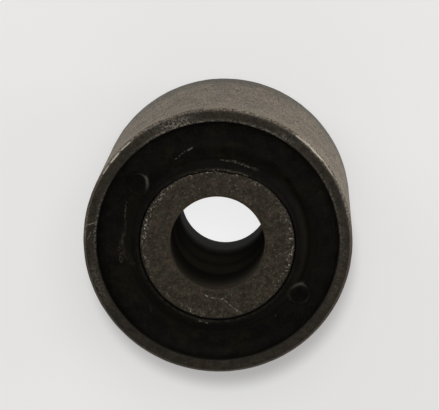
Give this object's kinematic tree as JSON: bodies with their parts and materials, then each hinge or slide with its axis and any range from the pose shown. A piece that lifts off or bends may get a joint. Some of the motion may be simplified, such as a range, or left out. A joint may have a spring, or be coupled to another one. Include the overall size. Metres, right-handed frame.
{
  "type": "rubber metal bush",
  "caption": "Bonded suspension bush: a rubber body between a thin steel outer sleeve and a thick steel inner sleeve with a through bore for a bolt.",
  "frame": {"origin": "on the axis, at the lower end of the inner sleeve, on which the bush stands", "axes": "+Z along the axis, towards the end that has the two gate stubs; +X and +Y are free, because only the two stubs break the round form"},
  "size_m": [0.035, 0.035, 0.031],
  "materials": {
    "outer_steel": "dark phosphated tube steel, matt and finely speckled, rubbed brighter along its edges",
    "inner_steel": "dark phosphated steel, sawn and tumbled end faces with a rough bright edge",
    "black_rubber": "matt black moulded rubber with pale scuffs and a torn skin along the inner sleeve"
  },
  "bodies": {
    "root": {"outer_sleeve": "outer_steel", "rubber_body": "black_rubber", "inner_sleeve": "inner_steel"}
  },
  "joints": []
}
